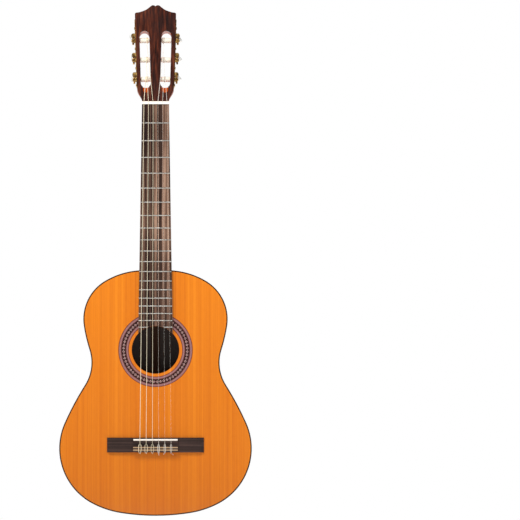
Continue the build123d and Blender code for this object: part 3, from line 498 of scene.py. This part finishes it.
# ------------------------------------------------------------------ shapes of the strings
head_normal = Vector(joints["button_1_turn"]["axis"]).normalized()
nut_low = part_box("nut")[0]
saddle_low, saddle_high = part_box("saddle")
string_diameters = {1: 0.72 * MM, 2: 0.82 * MM, 3: 1.04 * MM, 4: 0.76 * MM, 5: 0.92 * MM, 6: 1.12 * MM}
nut_spacing = 9.0 * MM
saddle_spacing = 12.1 * MM
nut_string_height = 7.3 * MM          # from the soundboard's face to the side of the strings nearest it
saddle_string_height = 12.4 * MM
roller_radius = 5.05 * MM             # with the gap between a string and its roller
first_lane = -17.0 * MM               # string's place along its roller, from the machine's plate
lane_step = -2.0 * MM
tie_hole_y = board_y - 4.9 * MM
tie_block_y = board_y - 8.5 * MM
ditch_low_z = bridge_low.z + 12.8 * MM         # low side of the gap between the tie block and the saddle
shortest_step = 1e-6
first_turns, other_turns = 4.4, 3.4   # turns on the roller of strings 1 and 2, and of the others
steps_per_turn = 24
turn_gap = 1.05                       # from turn to turn, in string diameters
block_gap = 0.12 * MM                 # between a string and the tie block's face
treble_loop, bass_loop = 1.3 * MM, 2.3 * MM    # about half the loop's width on the tie block
treble_tails = {1: (4.6, -5.5), 2: (-2.6, -4.2), 3: (0.6, -5.2)}    # mm across and up to the free end


def arc(corner, arriving, leaving, radius, steps=8):
    """Return points of the arc that joins two straight runs at a corner."""
    turn = arriving.angle(leaving)
    reach = radius * math.tan(turn / 2)
    start = corner - arriving * reach
    centre = corner + (leaving - arriving).normalized() * radius / math.cos(turn / 2)
    axis = arriving.cross(leaving).normalized()
    turns = [Matrix.Rotation(turn * step / steps, 3, axis) for step in range(steps + 1)]
    return [centre + rotation @ (start - centre) for rotation in turns]


def bent(points, radii):
    """Return a line through straight runs with an arc at each corner."""
    line = [points[0]]
    for before, corner, after, radius in zip(points, points[1:], points[2:], radii):
        line += arc(corner, (corner - before).normalized(), (after - corner).normalized(), radius)
    return line + [points[-1]]


def smooth(points, steps=6):
    """Return a smooth line through the points."""
    ends = [points[0] * 2 - points[1]] + points + [points[-1] * 2 - points[-2]]
    line = []
    for a, b, c, d in zip(ends, ends[1:], ends[2:], ends[3:]):
        for step in range(steps):
            t = step / steps
            line.append(0.5 * (2 * b + (c - a) * t + (2 * a - 5 * b + 4 * c - d) * t ** 2
                               + (3 * b - a - 3 * c + d) * t ** 3))
    return line + [points[-1]]


def tube(name, line, radius, sides=12):
    """Return a round mesh tube with closed, domed ends and its length kept as an attribute."""
    pairs = zip(line, line[1:])
    line = [line[0]] + [point for before, point in pairs if (point - before).length > shortest_step]
    directions = [(after - before).normalized() for before, after in zip(line, line[1:])]
    directions.append(directions[-1])
    normal = directions[0].orthogonal().normalized()
    vertices, faces, along, travelled = [], [], [], 0.0
    rows = []
    for index, point in enumerate(line):
        if index > 0:
            travelled += (point - line[index - 1]).length
            normal = directions[index - 1].rotation_difference(directions[index]) @ normal
            middle = (directions[index - 1] + directions[index]).normalized()
        else:
            middle = directions[0]
        across = (normal - middle * normal.dot(middle)).normalized()
        rows.append((point, middle, across, radius, travelled))
    first, last = rows[0], rows[-1]
    caps = [(0.35, 0.92), (0.7, 0.6), (0.9, 0.25)]
    start_rows = [(first[0] - first[1] * radius * out, first[1], first[2], radius * share, 0.0)
                  for out, share in reversed(caps)]
    end_rows = [(last[0] + last[1] * radius * out, last[1], last[2], radius * share, travelled)
                for out, share in caps]
    for point, direction, across, size, length in start_rows + rows + end_rows:
        other = direction.cross(across)
        for side in range(sides):
            angle = 2 * math.pi * side / sides
            vertices.append(point + (across * math.cos(angle) + other * math.sin(angle)) * size)
            along.append(length)
    count = len(vertices) // sides
    for row in range(count - 1):
        for side in range(sides):
            neighbour = (side + 1) % sides
            low, high = row * sides, (row + 1) * sides
            faces.append((low + side, low + neighbour, high + neighbour, high + side))
    faces.append(tuple(reversed(range(sides))))
    faces.append(tuple(range((count - 1) * sides, count * sides)))
    mesh = bpy.data.meshes.new(name)
    mesh.from_pydata(vertices, [], faces)
    mesh.attributes.new("along", "FLOAT", "POINT").data.foreach_set("value", along)
    mesh.shade_smooth()
    piece = bpy.data.objects.new(name, mesh)
    bpy.context.scene.collection.objects.link(piece)
    return piece


def winding(number, nut_point):
    """Return the line of a string's turns round its roller, ending where it leaves for the nut."""
    joint = joints[f"roller_{number}_turn"]
    axis = Vector(joint["axis"]).normalized()
    place = number - 2 if number <= 3 else 5 - number
    diameter = string_diameters[number]
    middle = Vector(joint["pos_m"]) + axis * (first_lane + lane_step * (place + 1))
    up = head_normal.cross(axis).normalized()
    up = up if up.z > 0 else -up
    radius = roller_radius + diameter / 2
    to_nut = nut_point - middle
    along, out = to_nut.dot(up), to_nut.dot(head_normal)
    angle = math.atan2(out, along) - math.acos(radius / math.hypot(along, out))
    turns = first_turns if number < 3 else other_turns
    steps = int(turns * steps_per_turn)
    line = []
    for step in range(steps + 1):
        share = step / steps
        turned = angle - 2 * math.pi * turns * (1 - share)
        offset = axis * (-diameter * turn_gap * turns * (1 - share))
        line.append(middle + offset + (up * math.cos(turned) + head_normal * math.sin(turned)) * radius)
    return line


def tied_end(number, saddle_point):
    """Return the line from the saddle through the tie block and round its knot."""
    x = saddle_point.x
    radius = string_diameters[number] / 2
    over_y = tie_block_y - radius - block_gap
    low_z = bridge_low.z
    down = bent([
        saddle_point,
        Vector((x, tie_hole_y, ditch_low_z + 1.0 * MM)),
        Vector((x, tie_hole_y, low_z - 1.3 * MM)),
    ], [0.8 * MM])
    wide = bass_loop if number > 3 else treble_loop
    knot = [
        Vector((x - wide * 0.5, tie_hole_y - 2.0 * MM, low_z - 1.5 * MM)),
        Vector((x - wide * 0.8, over_y + 0.4 * MM, low_z - 0.2 * MM)),
        Vector((x - wide, over_y - 0.15 * MM, low_z + 2.5 * MM)),
        Vector((x - wide * 1.1, over_y - 0.15 * MM, low_z + 7.0 * MM)),
        Vector((x - wide, over_y - 0.1 * MM, ditch_low_z - 1.0 * MM)),
        Vector((x - wide * 0.9, over_y + 1.6 * MM, ditch_low_z + 1.4 * MM)),
        Vector((x, tie_hole_y + 0.1 * MM, ditch_low_z + 3.2 * MM)),
        Vector((x + wide * 0.9, over_y + 1.6 * MM, ditch_low_z + 1.4 * MM)),
        Vector((x + wide, over_y - 0.1 * MM, ditch_low_z - 1.0 * MM)),
        Vector((x + wide * 1.1, over_y - 0.15 * MM, low_z + 7.0 * MM)),
        Vector((x + wide * 0.9, over_y - 0.15 * MM, low_z + 2.5 * MM)),
    ]
    if number > 3:
        knot += [
            Vector((x + wide * 0.5, over_y + 0.7 * MM, low_z - 0.3 * MM)),
            Vector((x + wide * 0.3, tie_hole_y - 0.4 * MM, low_z - 2.6 * MM)),
        ]
    else:
        tail_x, tail_z = treble_tails[number]
        knot += [
            Vector((x + wide * 0.6, over_y + 0.5 * MM, low_z - 0.4 * MM)),
            Vector((x + tail_x * 0.5 * MM, board_y - 3.4 * MM, low_z + tail_z * 0.55 * MM)),
            Vector((x + tail_x * MM, board_y - 2.0 * MM, low_z + tail_z * MM)),
        ]
    return down[:-1] + smooth([down[-1]] + knot)


for number, diameter in string_diameters.items():
    finish_name = "clear_nylon" if number <= 3 else "wound_silver"
    side = 3.5 - number
    nut_height = board_y - nut_string_height - diameter / 2
    nut_point = Vector((side * nut_spacing, nut_height, nut_low.z + 1.2 * MM))
    saddle_height = board_y - saddle_string_height - diameter / 2
    saddle_point = Vector((side * saddle_spacing, saddle_height, (saddle_low.z + saddle_high.z) / 2))
    turns = winding(number, nut_point)
    end = tied_end(number, saddle_point)
    middle = bent([turns[-1], nut_point, saddle_point, end[1]], [3.0 * MM, 1.0 * MM])
    string = tube(f"tied_string_{number}", turns + middle[1:-1] + end[1:], diameter / 2)
    string.data.materials.append(finishes[finish_name])
    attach(string, "root")
    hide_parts(f"string_{number}")

# ------------------------------------------------------------------ floor, light and camera
view_width = 1.0096
view_middle = Vector((0.2029, 0.0, 0.4966))

floor_paint = Paint("pale_floor")
floor_tone = floor_paint.noise((0.4, 0.4, 0.4), detail=3.0)
floor_colour = floor_paint.ramp(floor_tone, [(0.0, srgb(240, 240, 240)), (1.0, srgb(250, 250, 250))])
floor_paint.finish(floor_colour, floor_paint.range(floor_tone, 0.3, 0.7, 0.6, 0.8))
floor_mesh = bpy.data.meshes.new("floor")
floor_half = 6.0
floor_mesh.from_pydata(
    [(x * floor_half, y * floor_half, -0.0002) for x, y in ((-1, -1), (1, -1), (1, 1), (-1, 1))],
    [], [(0, 1, 2, 3)])
floor = bpy.data.objects.new("floor", floor_mesh)
floor_mesh.materials.append(floor_paint.material)
bpy.context.scene.collection.objects.link(floor)

# the studio's walls are white, light the object softly and show only dimly in its gloss
world = bpy.data.worlds.new("studio")
world.use_nodes = True
walls = world.node_tree.nodes["Background"]
walls.inputs["Color"].default_value = (1, 1, 1, 1)
ray = world.node_tree.nodes.new("ShaderNodeLightPath")
lit_strength = 0.55
gloss_strength = 0.16
strength = ray.outputs["Is Glossy Ray"]
for operation, second in (
    ("MULTIPLY", gloss_strength - lit_strength),
    ("ADD", lit_strength),
    ("MAXIMUM", ray.outputs["Is Camera Ray"]),
    ("MAXIMUM", ray.outputs["Is Transmission Ray"]),
):
    step = world.node_tree.nodes.new("ShaderNodeMath")
    step.operation = operation
    world.node_tree.links.new(strength, step.inputs[0])
    if isinstance(second, float):
        step.inputs[1].default_value = second
    else:
        world.node_tree.links.new(second, step.inputs[1])
    strength = step.outputs[0]
world.node_tree.links.new(strength, walls.inputs["Strength"])
bpy.context.scene.world = world


def soft_light(name, place, target, size, power):
    """Add a square soft light at a place, turned to a target."""
    data = bpy.data.lights.new(name, "AREA")
    data.size = size
    data.energy = power
    light = bpy.data.objects.new(name, data)
    light.location = place
    light.rotation_mode = "QUATERNION"
    light.rotation_quaternion = (Vector(target) - Vector(place)).to_track_quat("-Z", "Y")
    bpy.context.scene.collection.objects.link(light)


soft_light("key_light", (-1.1, -2.1, 3.5), (0, 0, 0.5), 1.1, 120.0)
soft_light("back_light", (1.1, 2.5, 3.2), (0, 0, 0.5), 1.4, 105.0)

camera_data = bpy.data.cameras.new("camera")
camera_data.type = "ORTHO"
camera_data.ortho_scale = view_width
camera_data.clip_end = 20.0
camera = bpy.data.objects.new("camera", camera_data)
camera.location = view_middle + Vector((0, -3.0, 0))
camera.rotation_euler = (math.radians(90), 0, 0)
bpy.context.scene.collection.objects.link(camera)
bpy.context.scene.camera = camera
bpy.context.scene.view_settings.view_transform = "Standard"
